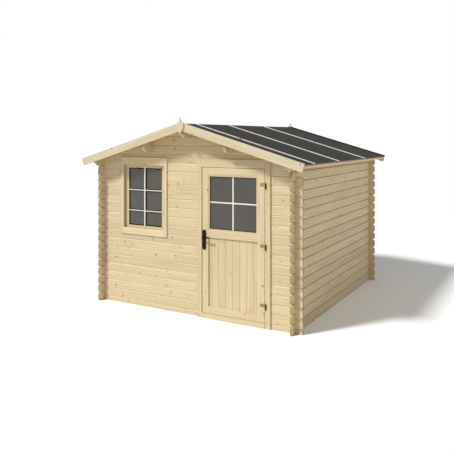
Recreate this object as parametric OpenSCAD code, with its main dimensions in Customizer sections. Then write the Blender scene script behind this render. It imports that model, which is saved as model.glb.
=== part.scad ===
// Garden shed of interlocking spruce boards, with a half-glazed door and a tall window
// in the front gable, under a low pitched roof of boards and bitumen felt.
// Millimetres. The origin is on the ground, under the middle of the roof.
// The front faces -Y, +X is to the right as one faces the door, and +Z is up.

/* [Walls] */
// Width over the outer faces of the side walls
wall_w = 2850; // [2700:10:3400]
// Depth over the outer faces of the front and back walls
wall_d = 2880; // [2000:10:3600]
// Thickness of a wall board
board_t = 28; // [24:1:36]
// Height that one wall board covers
board_h = 114; // [110:1:120]
// Whole boards in a side wall, under its top board
side_rows = 16; // [16:1:18]
// Height of a side wall's top board, at its outer face
top_board_h = 118; // [105:1:150]
// Length of the board ends past the wall that they cross
end_out = 90; // [60:5:120]
// Depth of the V joint between two boards, which is twice as wide
vee = 9; // [3:0.5:9]
// Radius on the corners of a board's end
end_round = 34; // [6:1:40]

/* [Roof] */
// Slope of the roof in degrees
roof_pitch = 16.2; // [13:0.1:19]
// From the front wall to the front face of the bargeboards
front_out = 198; // [160:1:300]
// From the back wall to the back face of the bargeboards
back_out = 198; // [160:1:300]
// From a side wall to the edge of the roof
eave_out = 192; // [120:1:260]
// Thickness of the roof boards
deck_t = 18; // [15:1:24]
// Thickness of the roofing felt
felt_t = 3; // [2:0.5:5]
// Width of a bargeboard
barge_h = 98; // [80:1:130]
// Thickness of a bargeboard
barge_t = 18; // [15:1:24]
// How far a bargeboard stands above the felt
barge_up = 13; // [0:1:20]
// Width of a purlin
purlin_w = 40; // [30:1:60]
// Height of a purlin in its middle
purlin_h = 158; // [140:1:190]
// From the ridge to the middle of a side purlin
purlin_x = 597; // [400:1:900]
// Length of the slanting cut at the end of a purlin
cut_l = 58; // [30:1:80]
// Height of the slanting cut at the end of a purlin
cut_h = 48; // [30:1:70]
// Height of the strip under the edge of the roof
eave_strip_h = 20; // [15:1:40]
// Thickness of the strip under the edge of the roof
eave_strip_t = 18; // [12:1:24]
// How far the strip stands back from the edge of the roof
eave_strip_back = 3; // [0:1:8]
// Width of a felt batten
batten_w = 28; // [20:1:40]
// Thickness of a felt batten
batten_t = 16; // [8:1:20]
// From the front edge of the roof to the middle of the first batten
batten_1 = 312; // [200:1:500]
// From the front edge of the roof to the middle of the second batten
batten_2 = 1125; // [900:1:1300]
// From the front edge of the roof to the middle of the third batten
batten_3 = 2215; // [1800:1:2400]
// Width of a finial
finial_w = 100; // [80:1:130]
// Height of a finial's spike above its shoulders
spike_h = 71; // [50:1:90]
// Height of a finial below its shoulders
drop_h = 130; // [110:1:160]
// How far a finial's shoulders are below the top of the bargeboards
shoulder_down = 16; // [0:1:30]
// Thickness of a finial
finial_t = 18; // [12:1:24]

/* [Window] */
// From the outside of the left wall to the window's opening
window_in = 380; // [320:1:420]
// Width between the window's jambs
window_w = 655; // [560:1:700]
// Boards of the front wall under the window
window_rows = 8; // [6:1:10]
// Thickness of the window's jambs
window_jamb_t = 22; // [18:1:30]
// Thickness of the window's sill
window_sill_t = 31; // [22:1:40]
// Thickness of the window's head
window_head_t = 31; // [20:1:34]
// Depth of the window's frame, through the wall
window_frame_d = 60; // [50:1:80]
// Width of the casing boards beside the window
window_casing_w = 47; // [36:1:80]
// Thickness of the window's casing boards
window_casing_t = 15; // [10:1:30]
// Height of the casing board below the window
apron_h = 82; // [70:1:110]
// How far the casing board below the window reaches up past the opening's edge
apron_up = 45; // [36:1:60]
// Width of the sash's stiles
sash_w = 57; // [40:1:70]
// Width of the sash's rails
sash_rail_w = 45; // [36:1:70]
// Thickness of the sash
sash_t = 28; // [22:1:34]
// How far the sash stands back from the face of the wall
sash_back = 25; // [2:1:30]
// Thickness of the glass
glass_t = 4; // [3:0.5:6]

/* [Door] */
// From the outside of the right wall to the doorway
door_in = 373; // [320:1:420]
// Width between the door's jambs
door_w = 864; // [780:1:900]
// Thickness of the door's jambs
jamb_t = 30; // [24:1:40]
// Depth of the door's frame, through the wall
jamb_d = 70; // [60:1:90]
// Width of the stop that the door shuts against
stop_w = 15; // [10:1:20]
// Thickness of the door's casing boards, and how far the door stands out with them
casing_t = 18; // [14:1:24]
// Width of the casing boards beside the door
door_casing_w = 68; // [50:1:80]
// Height of the casing boards over the door and the window
trim_h = 100; // [80:1:120]
// How far those boards reach down past the top of the opening
trim_down = 36; // [30:1:50]
// Height of the door's sill
sill_h = 60; // [35:1:80]
// How far the sill stands out from the wall
sill_out = 24; // [18:1:90]
// Gap round the door
door_gap = 5; // [5:0.5:8]
// Gap at the lock side, where the door's corner swings past the jamb
lock_gap = 14; // [8:0.5:16]
// Thickness of the door
door_t = 36; // [30:1:44]
// Width of the door's stile on the hinge side
stile_w = 88; // [80:1:110]
// Width of the door's stile on the lock side
lock_stile_w = 82; // [75:1:110]
// Height of the door's top rail
top_rail_h = 88; // [70:1:110]
// Height of the door's middle rail
mid_rail_h = 88; // [70:1:110]
// Height of the door's bottom rail
bottom_rail_h = 85; // [70:1:130]
// From the ground to the underside of the middle rail
mid_rail_z = 990; // [800:1:1100]
// Width of the bead round the door's glass
bead_w = 17; // [12:1:30]
// How far the bead stands back from the face of the door
bead_back = 4; // [1:1:8]
// How far the door's glass stands back from its face
glass_back = 22; // [10:1:24]
// How far the door's boards stand back from its face
panel_back = 17; // [10:1:18]
// Thickness of the door's boards
panel_t = 12; // [10:1:15]
// Cover width of the door's boards
panel_board_w = 96; // [80:1:140]
// Width of the cut board at the lock side
panel_first = 42; // [20:1:80]

/* [Hinges and handle] */
// Radius of a hinge's knuckle
knuckle_r = 7; // [6:0.5:9]
// Radius of a hinge's pin
pin_r = 4; // [3:0.5:4.5]
// Height of the knuckle on the door
knuckle_h = 38; // [30:1:50]
// Height of the knuckle on the frame
seat_h = 27; // [20:1:40]
// From the jamb's inner face to the hinge's axis
hinge_x = 14; // [12:1:18]
// Width of a hinge's plate on the door
plate_w = 52; // [40:1:60]
// Thickness of a hinge's plate
plate_t = 2.5; // [2:0.5:3]
// From the foot of the door to the top of the bottom hinge
hinge_low = 221; // [150:1:300]
// From the foot of the door to the top of the middle hinge
hinge_mid = 906; // [800:1:1000]
// From the top of the door down to the top of the top hinge
hinge_down = 160; // [120:1:250]
// Height of the handle's axis above the ground
handle_z = 993; // [900:1:1050]
// From the edge of the door to the handle's axis
backset = 27; // [27:1:45]
// Width of the handle's back plate
back_plate_w = 48; // [40:1:56]
// Height of the handle's back plate
back_plate_h = 242; // [200:1:280]
// Thickness of the handle's back plate
back_plate_t = 8; // [5:1:12]
// How far the back plate reaches up from the handle's axis
back_plate_up = 85; // [60:1:120]
// Radius of the handle's neck
neck_r = 8; // [6:0.5:10]
// How far the handle's bar stands off the back plate
neck_l = 40; // [34:1:55]
// Length of the handle's bar, from its axis
bar_l = 100; // [80:1:120]
// Thickness of the handle's bar
bar_t = 11; // [8:1:14]
// Height of the handle's bar
bar_h = 18; // [14:1:24]

/* [Hidden] */
// Running clearance round a pin
pin_gap = 0.05;
// Clearance between the two knuckles of a hinge
knuckle_gap = 0.3;
// Clearance under the sloping roof boards, where they rest on walls and purlins
seat_gap = 0.05;
// Clearance round the spindle where it passes through the door
spindle_gap = 5;
// How far a cut reaches past the face that it opens
over = 20;
$fn = 48;

// Walls: the front and back boards lie half a board lower than the side boards.
half_w = wall_w / 2;
roof_d = wall_d + front_out + back_out;
front_y = front_out - roof_d / 2;
back_y = front_y + wall_d;
side_top = side_rows * board_h;
ends_top = side_top - board_h / 2;
opening_top = side_top + board_h / 2;

// Roof: its underside meets the outer edges of the side walls.
ridge_z = side_top + top_board_h + half_w * tan(roof_pitch);
barge_top = deck_t + felt_t + barge_up;
roof_half = half_w + eave_out;
slope_l = (roof_half - barge_top * sin(roof_pitch)) / cos(roof_pitch);
roof_y0 = -roof_d / 2 + barge_t;
roof_y1 = roof_d / 2 - barge_t;
batten_ys = [batten_1, batten_2, batten_3];

// Window
window_x0 = window_in - half_w;
window_x1 = window_x0 + window_w;
window_open_z = (window_rows + 0.5) * board_h;
sash_z0 = window_open_z + window_sill_t;
sash_z1 = opening_top - window_head_t;
sash_y = front_y + sash_back;
trim_z = opening_top - trim_down;
window_casing_y = front_y - window_casing_t;

// Door
casing_y = front_y - casing_t;
leaf_y = casing_y;
jamb_x1 = half_w - door_in;
jamb_x0 = jamb_x1 - door_w;
door_x0 = jamb_x0 + lock_gap;
door_x1 = jamb_x1 - door_gap;
panel_x0 = door_x0 + lock_stile_w;
panel_x1 = door_x1 - stile_w;
door_z0 = sill_h + door_gap;
door_z1 = trim_z - door_gap;
stop_y = leaf_y + door_t + door_gap;
door_light_z0 = mid_rail_z + mid_rail_h;
door_light_z1 = door_z1 - top_rail_h;
panel_z0 = door_z0 + bottom_rail_h;
glass_y = leaf_y + min(glass_back, door_t - bead_back - glass_t);

// Hinges and handle
hinge_axis_x = jamb_x1 + hinge_x;
hinge_axis_y = casing_y - knuckle_r - 1;
hinge_tops = [hinge_low, hinge_mid, door_z1 - door_z0 - hinge_down];
handle_x = door_x0 + backset;

// Colours
spruce = [0.88, 0.78, 0.60];
bright_spruce = [0.93, 0.86, 0.71];
felt_black = [0.24, 0.23, 0.22];
pane_grey = [0.55, 0.60, 0.60, 0.5];
yellow_zinc = [0.74, 0.66, 0.28];
black_metal = [0.16, 0.14, 0.12];

// ---- Helpers ----

// An outline drawn as (Y, Z) points, run along X
module along_x(x0, x1)
    translate([x0, 0, 0]) rotate([90, 0, 90]) linear_extrude(x1 - x0) children();

// An outline drawn as (X, Z) points, run along Y
module along_y(y0, y1)
    translate([0, y1, 0]) rotate([90, 0, 0]) linear_extrude(y1 - y0) children();

module block(x0, x1, y0, y1, z0, z1)
    translate([x0, y0, z0]) cube([x1 - x0, y1 - y0, z1 - z0]);

module both_sides() {
    children();
    mirror([1, 0, 0]) children();
}

// Top of what carries the roof, above a point at x
function under(x) = ridge_z - seat_gap - abs(x) * tan(roof_pitch);

// A point at a distance down the right-hand slope and a height square to it
function on_slope(s, h) = [
    s * cos(roof_pitch) + h * sin(roof_pitch),
    ridge_z - s * sin(roof_pitch) + h * cos(roof_pitch)
];

// ---- Wall boards ----

// Joints of a stack of boards, above the first of them
function joints(first, z0, z1) = [for (z = [first:board_h:z1]) if (z > z0 + vee && z < z1 - vee) z];

// Section through a stack of boards, with a V at each joint on both faces. Its top edges
// are half a joint, and so are its bottom edges unless they stand on the ground.
module stack_section(first, z0, z1) {
    half = concat(
        z0 > 0 ? [[vee, z0], [0, z0 + vee]] : [[0, z0]],
        [for (j = joints(first, z0, z1)) each [[0, j - vee], [vee, j], [0, j + vee]]],
        [[0, z1 - vee], [vee, z1]]
    );
    polygon(concat(half, [for (i = [len(half) - 1:-1:0]) [board_t - half[i][0], half[i][1]]]));
}

// Edges of a stack of board ends with rounded corners, from the ground up. The ends are
// at e, and way is 1 where the boards come from below e and -1 where they come from above.
// The corner on the ground is sharper than the others.
function board_ends(e, way, edges) = [
    for (i = [0:len(edges) - 2]) let (low = i == 0 ? end_round / 3 : end_round) each concat(
        [for (a = i == 0 ? [-90, -45, 0] : [-45, 0])
            [e + way * low * (cos(a) - 1), edges[i] + low * (1 + sin(a))]],
        [for (a = [0, 45, 90])
            [e + way * end_round * (cos(a) - 1), edges[i + 1] + end_round * (sin(a) - 1)]])
];

// Heights of the board edges whose ends stand out, in the front, back and side walls
front_edges = concat([0], [for (k = [0:side_rows - 1]) (k + 0.5) * board_h]);
back_edges = concat(front_edges, [opening_top]);
side_edges = [for (k = [0:side_rows]) k * board_h];

// Where walls cross, each board is cut down to the middle half of its height.
module corner_columns(z0, z1)
    for (x = [-half_w, half_w - board_t], y = [front_y, back_y - board_t])
        translate([x, y, z0]) cube([board_t, board_t, z1 - z0]);

module side_board_necks() {
    for (k = [0:side_rows - 1]) corner_columns((k + 0.25) * board_h, (k + 0.75) * board_h);
    corner_columns((side_rows + 0.25) * board_h, ridge_z);
}

module front_board_necks()
    for (k = [0:side_rows]) corner_columns(k == 0 ? -over : (k - 0.25) * board_h, (k + 0.25) * board_h);

// Outline of one half of a front or back wall, from the middle of the shed to its board ends
function half_outline(way, x_in, x_top, z_top) = concat(
    [[way * x_in, 0]],
    board_ends(way * (half_w + end_out), way, front_edges),
    [[way * half_w, ends_top], [way * half_w, z_top], [way * x_top, z_top]]
);

module front_boards(x0, x1, z0, z1)
    translate([0, front_y, 0]) along_x(x0, x1) stack_section(board_h / 2, z0, z1);

module front_wall_left()
    color(spruce) difference() {
        intersection() {
            front_boards(-half_w - end_out, window_x0 - window_jamb_t, 0, opening_top);
            along_y(front_y - over, front_y + board_t + over)
                polygon(half_outline(-1, window_jamb_t - window_x0, window_jamb_t - window_x0, opening_top));
        }
        side_board_necks();
    }

module front_wall_under_window()
    color(spruce) front_boards(window_x0 - window_jamb_t, window_x1 + window_jamb_t, 0, window_open_z);

module front_wall_middle()
    color(spruce) front_boards(window_x1 + window_jamb_t, jamb_x0 - jamb_t, 0, opening_top);

module front_wall_right()
    color(spruce) difference() {
        intersection() {
            front_boards(jamb_x1 + jamb_t, half_w + end_out, 0, opening_top);
            along_y(front_y - over, front_y + board_t + over)
                polygon(half_outline(1, jamb_x1 + jamb_t, jamb_x1 + jamb_t, opening_top));
        }
        side_board_necks();
    }

// The purlins lie in slots in the gables, which are open at the top.
module purlin_slots()
    for (x = [-purlin_x, 0, purlin_x])
        block(x - purlin_w / 2, x + purlin_w / 2, front_y - over, back_y + over,
            under(x) - purlin_h, ridge_z + over);

function gable_outline(z0) = [
    [half_w - board_t, z0], [half_w - board_t, under(half_w - board_t)], [0, under(0)],
    [board_t - half_w, under(half_w - board_t)], [board_t - half_w, z0]
];

module front_gable()
    color(spruce) difference() {
        intersection() {
            front_boards(-half_w, half_w, opening_top, ridge_z);
            along_y(front_y - over, front_y + board_t + over) polygon(gable_outline(opening_top));
        }
        purlin_slots();
    }

module back_wall()
    color(spruce) difference() {
        intersection() {
            translate([0, back_y - board_t, 0]) along_x(-half_w - end_out, half_w + end_out)
                stack_section(board_h / 2, 0, ridge_z);
            along_y(back_y - board_t - over, back_y + over) back_outline();
        }
        side_board_necks();
        purlin_slots();
    }

module back_outline() {
    right = concat(
        board_ends(half_w + end_out, 1, back_edges),
        [[half_w - board_t, opening_top], [half_w - board_t, under(half_w - board_t)]]
    );
    polygon(concat(
        right, [[0, under(0)]], [for (i = [len(right) - 1:-1:0]) [-right[i][0], right[i][1]]]
    ));
}

module side_wall()
    difference() {
        intersection() {
            translate([half_w - board_t, 0, 0])
                along_y(front_y - end_out, back_y + end_out) stack_section(board_h, 0, side_top);
            along_x(half_w - board_t - over, half_w + over) side_outline();
        }
        front_board_necks();
    }

module side_outline() {
    back_ends = board_ends(back_y + end_out, 1, side_edges);
    front_ends = board_ends(front_y - end_out, -1, side_edges);
    polygon(concat(back_ends, [for (i = [len(front_ends) - 1:-1:0]) front_ends[i]]));
}

module left_wall() color(spruce) mirror([1, 0, 0]) side_wall();

module right_wall() color(spruce) side_wall();

// Side view of a timber that carries the roof, with its lower corners cut away at both ends
module carrier_side(z0, z1)
    polygon([
        [roof_y0 + cut_l, z0], [roof_y1 - cut_l, z0], [roof_y1, z0 + cut_h],
        [roof_y1, z1], [roof_y0, z1], [roof_y0, z0 + cut_h]
    ]);

module top_board()
    difference() {
        intersection() {
            along_y(roof_y0, roof_y1) polygon([
                [half_w - board_t, side_top + vee], [half_w - board_t + vee, side_top],
                [half_w - vee, side_top], [half_w, side_top + vee],
                [half_w, under(half_w)], [half_w - board_t, under(half_w - board_t)]
            ]);
            along_x(half_w - board_t - over, half_w + over) carrier_side(side_top, ridge_z);
        }
        front_board_necks();
    }

module left_top_board() color(spruce) mirror([1, 0, 0]) top_board();

module right_top_board() color(spruce) top_board();

// ---- Roof ----

module side_purlin()
    intersection() {
        along_y(roof_y0, roof_y1) polygon([
            [purlin_x - purlin_w / 2, under(purlin_x) - purlin_h],
            [purlin_x + purlin_w / 2, under(purlin_x) - purlin_h],
            [purlin_x + purlin_w / 2, under(purlin_x + purlin_w / 2)],
            [purlin_x - purlin_w / 2, under(purlin_x - purlin_w / 2)]
        ]);
        along_x(purlin_x - purlin_w, purlin_x + purlin_w)
            carrier_side(under(purlin_x) - purlin_h, ridge_z);
    }

module ridge_purlin()
    color(spruce) intersection() {
        along_y(roof_y0, roof_y1) polygon([
            [-purlin_w / 2, under(0) - purlin_h], [purlin_w / 2, under(0) - purlin_h],
            [purlin_w / 2, under(purlin_w / 2)], [0, under(0)], [-purlin_w / 2, under(purlin_w / 2)]
        ]);
        along_x(-purlin_w, purlin_w) carrier_side(under(0) - purlin_h, ridge_z + over);
    }

module left_purlin() color(spruce) mirror([1, 0, 0]) side_purlin();

module right_purlin() color(spruce) side_purlin();

// A layer of the right-hand slope between two heights square to it, mitred at the ridge
module slope_layer(h0, h1, y0, y1)
    along_y(y0, y1) polygon([
        [0, ridge_z + h0 / cos(roof_pitch)], on_slope(slope_l, h0),
        on_slope(slope_l, h1), [0, ridge_z + h1 / cos(roof_pitch)]
    ]);

module roof_deck() slope_layer(0, deck_t, roof_y0, roof_y1);

module roof_deck_left() color(spruce) mirror([1, 0, 0]) roof_deck();

module roof_deck_right() color(spruce) roof_deck();

module roof_felt() slope_layer(deck_t, deck_t + felt_t, roof_y0, roof_y1);

module roof_felt_left() color(felt_black) mirror([1, 0, 0]) roof_felt();

module roof_felt_right() color(felt_black) roof_felt();

module roof_battens()
    color(bright_spruce) both_sides()
        for (y = batten_ys)
            translate([0, y - roof_d / 2 - batten_w / 2, 0]) along_y(0, batten_w) polygon([
                on_slope(batten_w, deck_t + felt_t), on_slope(slope_l, deck_t + felt_t),
                on_slope(slope_l, deck_t + felt_t + batten_t),
                on_slope(batten_w, deck_t + felt_t + batten_t)
            ]);

module eave_strips()
    color(spruce) both_sides() along_y(roof_y0, roof_y1) polygon([
        on_slope(slope_l - eave_strip_back - eave_strip_t, -seat_gap),
        on_slope(slope_l - eave_strip_back - eave_strip_t, -eave_strip_h),
        on_slope(slope_l - eave_strip_back, -eave_strip_h),
        on_slope(slope_l - eave_strip_back, -seat_gap)
    ]);

module bargeboard(y0) slope_layer(barge_top - barge_h, barge_top, y0, y0 + barge_t);

module front_bargeboard_left() color(spruce) mirror([1, 0, 0]) bargeboard(-roof_d / 2);

module front_bargeboard_right() color(spruce) bargeboard(-roof_d / 2);

module back_bargeboard_left() color(spruce) mirror([1, 0, 0]) bargeboard(roof_y1);

module back_bargeboard_right() color(spruce) bargeboard(roof_y1);

// A finial: a hollow-sided spike over square shoulders, with a swept drop below them
module finial(y0) {
    shoulder_z = ridge_z + barge_top / cos(roof_pitch) - shoulder_down;
    foot = finial_w * 0.07;
    sweep_z = shoulder_z - drop_h * 0.2;
    half = concat(
        [for (t = [1:-0.125:0]) [finial_w / 2 * pow(1 - t, 2.2), shoulder_z + spike_h * t]],
        [for (t = [0:0.1:1])
            [foot + (finial_w / 2 - foot) * (1 + cos(180 * t)) / 2, sweep_z - drop_h * 0.8 * t]]
    );
    along_y(y0, y0 + finial_t)
        polygon(concat(half, [for (i = [len(half) - 1:-1:1]) [-half[i][0], half[i][1]]]));
}

module front_finial() color(spruce) finial(-roof_d / 2 - finial_t);

module back_finial() color(spruce) finial(roof_d / 2);

// ---- Window ----

module window_jambs()
    color(spruce) for (x = [window_x0 - window_jamb_t, window_x1])
        block(x, x + window_jamb_t, front_y, front_y + window_frame_d, window_open_z, opening_top);

module window_head_and_sill()
    color(spruce) {
        block(window_x0, window_x1, front_y, front_y + window_frame_d, sash_z1, opening_top);
        block(window_x0, window_x1, front_y, front_y + window_frame_d, window_open_z, sash_z0);
    }

module window_casing_sides()
    color(spruce) for (x = [window_x0 - window_casing_w, window_x1])
        block(x, x + window_casing_w, window_casing_y, front_y,
            window_open_z + apron_up - apron_h, trim_z + trim_h);

module window_casing_rails()
    color(spruce) {
        block(window_x0, window_x1, window_casing_y, front_y, trim_z, trim_z + trim_h);
        block(window_x0, window_x1, window_casing_y, front_y,
            window_open_z + apron_up - apron_h, window_open_z + apron_up);
    }

module sash_stiles()
    color(spruce) for (x = [window_x0, window_x1 - sash_w])
        block(x, x + sash_w, sash_y, sash_y + sash_t, sash_z0, sash_z1);

module sash_rails()
    color(spruce) for (z = [sash_z0, sash_z1 - sash_rail_w])
        block(window_x0 + sash_w, window_x1 - sash_w, sash_y, sash_y + sash_t, z, z + sash_rail_w);

module window_glass()
    color(pane_grey) block(window_x0 + sash_w, window_x1 - sash_w,
        sash_y + (sash_t - glass_t) / 2, sash_y + (sash_t + glass_t) / 2,
        sash_z0 + sash_rail_w, sash_z1 - sash_rail_w);

// ---- Door frame ----

// Plan of the right-hand jamb, with the stop that the door shuts against
module jamb_plan()
    polygon([
        [0, 0], [jamb_t, 0], [jamb_t, jamb_d], [-stop_w, jamb_d],
        [-stop_w, stop_y - front_y], [0, stop_y - front_y]
    ]);

module door_jamb_left()
    color(spruce) translate([jamb_x0, front_y, 0]) mirror([1, 0, 0])
        linear_extrude(opening_top) jamb_plan();

module door_jamb_right()
    color(spruce) translate([jamb_x1, front_y, 0]) linear_extrude(opening_top) jamb_plan();

module door_head()
    color(spruce) {
        block(jamb_x0, jamb_x1, front_y, stop_y, trim_z, opening_top);
        block(jamb_x0 + stop_w, jamb_x1 - stop_w, stop_y, front_y + jamb_d, trim_z - stop_w, opening_top);
    }

module door_sill()
    color(spruce) {
        block(jamb_x0, jamb_x1, front_y - sill_out, stop_y, 0, sill_h);
        block(jamb_x0 + stop_w, jamb_x1 - stop_w, stop_y, front_y + jamb_d, 0, sill_h + stop_w);
    }

module door_casing_sides()
    color(spruce) for (x = [jamb_x0 - door_casing_w, jamb_x1])
        block(x, x + door_casing_w, casing_y, front_y, 0, trim_z + trim_h);

module door_head_trim()
    color(spruce) block(jamb_x0, jamb_x1, casing_y, front_y, trim_z, trim_z + trim_h);

// ---- Door ----

module spindle_hole()
    translate([handle_x, leaf_y - over, handle_z]) rotate([-90, 0, 0])
        cylinder(r = neck_r + spindle_gap, h = door_t + 2 * over);

module door_stiles()
    color(spruce) difference() {
        for (x = [[door_x0, panel_x0], [panel_x1, door_x1]])
            block(x[0], x[1], leaf_y, leaf_y + door_t, door_z0, door_z1);
        spindle_hole();
    }

module door_rails()
    color(spruce) for (r = [[panel_z0 - bottom_rail_h, bottom_rail_h],
                            [mid_rail_z, mid_rail_h], [door_light_z1, top_rail_h]])
        block(panel_x0, panel_x1, leaf_y, leaf_y + door_t, r[0], r[0] + r[1]);

// Upright boards with a V joint between them on the face
module door_boards() {
    v = panel_t / 4;
    color(spruce) translate([0, leaf_y + panel_back, panel_z0])
        linear_extrude(mid_rail_z - panel_z0) polygon(concat(
            [[panel_x1, panel_t], [panel_x0, panel_t], [panel_x0, 0]],
            [for (x = [panel_x0 + panel_first:panel_board_w:panel_x1 - 10]) each
                [[x - v, 0], [x, v], [x + v, 0]]],
            [[panel_x1, 0]]
        ));
}

module door_glass()
    color(pane_grey) block(panel_x0 + bead_w, panel_x1 - bead_w,
        glass_y, glass_y + glass_t, door_light_z0 + bead_w, door_light_z1 - bead_w);

module door_glass_bead()
    color(spruce) difference() {
        block(panel_x0, panel_x1, leaf_y + bead_back, leaf_y + door_t - bead_back,
            door_light_z0, door_light_z1);
        block(panel_x0 + bead_w, panel_x1 - bead_w, leaf_y - over, leaf_y + door_t + over,
            door_light_z0 + bead_w, door_light_z1 - bead_w);
    }

// ---- Hinges ----

// The knuckle and pin that stay on the frame
module hinge_seats()
    color(yellow_zinc) for (top = hinge_tops) translate([hinge_axis_x, hinge_axis_y, door_z0 + top]) {
        translate([0, 0, -knuckle_h - knuckle_gap - seat_h]) {
            cylinder(r = knuckle_r, h = seat_h);
            translate([-knuckle_r, 0, 0]) cube([2 * knuckle_r, casing_y - hinge_axis_y, seat_h]);
        }
        translate([0, 0, -knuckle_h - knuckle_gap]) cylinder(r = pin_r, h = knuckle_h + knuckle_gap);
    }

// The plate on the door, cranked out round the casing to its knuckle
module hinge_plates()
    color(yellow_zinc) for (top = hinge_tops)
        translate([hinge_axis_x, hinge_axis_y, door_z0 + top - knuckle_h]) {
            difference() {
                union() {
                    cylinder(r = knuckle_r, h = knuckle_h);
                    translate([door_x1 - 3 - hinge_axis_x - plate_t, -knuckle_r, 0])
                        cube([hinge_axis_x - door_x1 + 3 + plate_t, plate_t, knuckle_h]);
                }
                translate([0, 0, -1]) cylinder(r = pin_r + pin_gap, h = knuckle_h + 2);
            }
            translate([door_x1 - 3 - hinge_axis_x - plate_t, -knuckle_r, 0])
                cube([plate_t, leaf_y - hinge_axis_y + knuckle_r, knuckle_h]);
            translate([door_x1 - 3 - hinge_axis_x - plate_w, leaf_y - hinge_axis_y - plate_t, 0])
                cube([plate_w, plate_t, knuckle_h]);
        }

// ---- Handle ----

// Outline of a back plate with round ends, about the handle's axis
module back_plate_outline() {
    r = back_plate_w / 2;
    low = back_plate_up - back_plate_h;
    polygon(concat(
        [for (a = [0:15:180]) [r * cos(a), back_plate_up - r + r * sin(a)]],
        [for (a = [180:15:360]) [r * cos(a), low + r + r * sin(a)]]
    ));
}

module handle_plates()
    color(black_metal) translate([handle_x, 0, handle_z]) difference() {
        for (y = [leaf_y - back_plate_t, leaf_y + door_t])
            along_y(y, y + back_plate_t) back_plate_outline();
        translate([0, leaf_y - over, 0]) rotate([-90, 0, 0])
            cylinder(r = neck_r + pin_gap, h = door_t + 2 * over);
    }

// One bar, lying along +X with its free end rounded off
module handle_bar(y0)
    along_y(y0, y0 + bar_t) polygon(concat(
        [for (a = [90:15:270]) [bar_h / 2 * cos(a), bar_h / 2 * sin(a)]],
        [for (a = [-90:15:90]) [bar_l - bar_h / 2 + bar_h / 2 * cos(a), bar_h / 2 * sin(a)]]
    ));

// Both bars on one spindle
module door_handle()
    color(black_metal) translate([handle_x, 0, handle_z]) {
        outer_y = leaf_y - back_plate_t - neck_l;
        inner_y = leaf_y + door_t + back_plate_t + neck_l;
        translate([0, outer_y, 0]) rotate([-90, 0, 0]) cylinder(r = neck_r, h = inner_y - outer_y);
        handle_bar(outer_y - bar_t);
        handle_bar(inner_y);
    }

front_wall_left();
front_wall_under_window();
front_wall_middle();
front_wall_right();
front_gable();
back_wall();
left_wall();
right_wall();
left_top_board();
right_top_board();
ridge_purlin();
left_purlin();
right_purlin();
roof_deck_left();
roof_deck_right();
roof_felt_left();
roof_felt_right();
roof_battens();
eave_strips();
front_bargeboard_left();
front_bargeboard_right();
back_bargeboard_left();
back_bargeboard_right();
front_finial();
back_finial();
window_jambs();
window_head_and_sill();
window_casing_sides();
window_casing_rails();
sash_stiles();
sash_rails();
window_glass();
door_jamb_left();
door_jamb_right();
door_head();
door_sill();
door_casing_sides();
door_head_trim();
hinge_seats();
door_stiles();
door_rails();
door_boards();
door_glass();
door_glass_bead();
hinge_plates();
handle_plates();
door_handle();
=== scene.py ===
"""A garden shed of interlocking spruce boards: finishes, glazing bars, roof boards and fixings."""
import math

import bmesh
import bpy
from mathutils import Matrix, Vector


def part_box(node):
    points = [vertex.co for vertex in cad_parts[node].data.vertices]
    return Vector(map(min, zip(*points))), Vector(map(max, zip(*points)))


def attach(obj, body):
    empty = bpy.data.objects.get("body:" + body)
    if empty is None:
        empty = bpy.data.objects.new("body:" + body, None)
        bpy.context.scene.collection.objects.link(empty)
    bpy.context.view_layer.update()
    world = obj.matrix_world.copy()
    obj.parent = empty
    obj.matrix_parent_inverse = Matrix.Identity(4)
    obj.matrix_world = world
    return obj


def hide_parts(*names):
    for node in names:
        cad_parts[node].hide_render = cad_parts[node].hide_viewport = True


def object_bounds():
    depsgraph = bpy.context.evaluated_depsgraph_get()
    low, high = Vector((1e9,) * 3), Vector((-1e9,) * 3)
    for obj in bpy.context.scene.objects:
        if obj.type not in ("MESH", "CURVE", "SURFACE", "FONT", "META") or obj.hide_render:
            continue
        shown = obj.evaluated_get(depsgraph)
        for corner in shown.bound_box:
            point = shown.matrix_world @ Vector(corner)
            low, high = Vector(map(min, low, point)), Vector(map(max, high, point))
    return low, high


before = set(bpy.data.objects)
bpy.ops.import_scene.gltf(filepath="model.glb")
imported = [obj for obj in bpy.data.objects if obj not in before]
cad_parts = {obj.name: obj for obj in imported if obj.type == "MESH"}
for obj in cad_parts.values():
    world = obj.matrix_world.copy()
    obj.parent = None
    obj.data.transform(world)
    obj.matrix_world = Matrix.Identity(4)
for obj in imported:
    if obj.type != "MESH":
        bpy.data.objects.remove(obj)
cad_bounds = [list(corner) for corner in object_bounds()]

MM = 0.001
WALL_BOARD = 114 * MM  # height that each wall board covers
DOOR_BOARD = 96 * MM  # width that each of the door's boards covers
FIRST_DOOR_BOARD = 326 * MM  # x of the first joint in the door's boards
ROOF_BOARD = 92 * MM  # width that each roof board covers
ROOF_FRONT = -1620 * MM  # y of the roof boards' front edge
ROOF_PITCH = math.radians(16.2)
DECK = 18 * MM  # thickness of the roof boards
FELT = 3 * MM  # thickness of the felt
BARREL_X = 1059 * MM  # x where the barrels of the shut door's hinges begin


# ---- Node helper and colours ----

def linear(hex_colour):
    """sRGB hex to the linear RGBA that sockets take."""
    channels = [int(hex_colour[i:i + 2], 16) / 255 for i in (1, 3, 5)]
    return [c / 12.92 if c <= 0.04045 else ((c + 0.055) / 1.055) ** 2.4
            for c in channels] + [1.0]


def add(tree, kind, links=None, **settings):
    """Adds a node. links maps an input to a socket or to a value, settings are its attributes."""
    node = tree.nodes.new(kind)
    for name, value in settings.items():
        setattr(node, name, value)
    for name, source in (links or {}).items():
        if isinstance(source, bpy.types.NodeSocket):
            tree.links.new(source, node.inputs[name])
        else:
            node.inputs[name].default_value = source
    return node


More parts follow.
